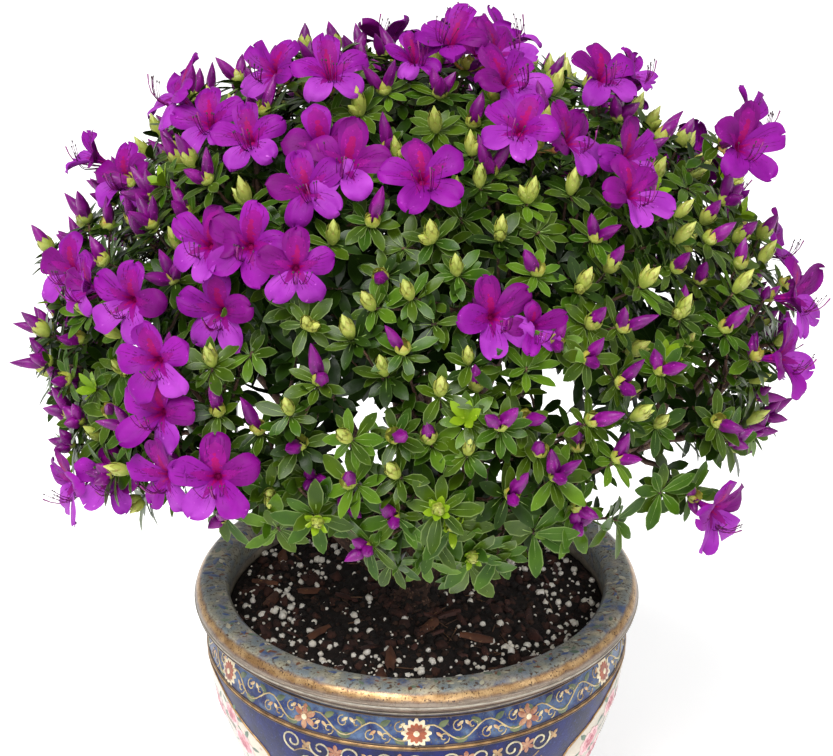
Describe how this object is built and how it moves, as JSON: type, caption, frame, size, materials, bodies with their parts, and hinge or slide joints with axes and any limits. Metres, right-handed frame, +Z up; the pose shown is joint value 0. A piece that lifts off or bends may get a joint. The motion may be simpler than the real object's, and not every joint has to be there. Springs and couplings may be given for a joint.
{
  "type": "potted azalea shrub",
  "caption": "Rounded azalea shrub in flower, with a short trunk, branching boughs and leafy shoots, growing in a glazed round bowl planter.",
  "frame": {"origin": "centre of the pot's flat underside", "axes": "+Z up from the pot's underside to the top of the crown, -Y towards the shrub's front, +X to the right seen from the front"},
  "size_m": [0.5843, 0.5379, 0.6864],
  "materials": {
    "glaze": "crazed painted glaze, dark blue ground with cream, gold and rust ornament and a worn gold lip",
    "potting_mix": "loose dark potting mix with bark chips and white perlite",
    "bark": "thin reddish-brown bark",
    "foliage": "satin green leaves"
  },
  "bodies": {
    "root": {"pot": "glaze", "potting_mix": "potting_mix", "trunk": "bark", "bough_low_1": "bark", "bough_low_2": "bark", "bough_low_3": "bark", "bough_low_4": "bark", "bough_low_5": "bark", "bough_low_6": "bark", "bough_low_7": "bark", "bough_low_8": "bark", "bough_mid_1": "bark", "bough_mid_2": "bark", "bough_mid_3": "bark", "bough_mid_4": "bark", "bough_mid_5": "bark", "bough_top": "bark", "foliage_low_1": "foliage", "foliage_low_2": "foliage", "foliage_low_3": "foliage", "foliage_low_4": "foliage", "foliage_low_5": "foliage", "foliage_low_6": "foliage", "foliage_low_7": "foliage", "foliage_low_8": "foliage", "foliage_mid_1": "foliage", "foliage_mid_2": "foliage", "foliage_mid_3": "foliage", "foliage_mid_4": "foliage", "foliage_mid_5": "foliage", "foliage_top": "foliage"}
  },
  "joints": []
}
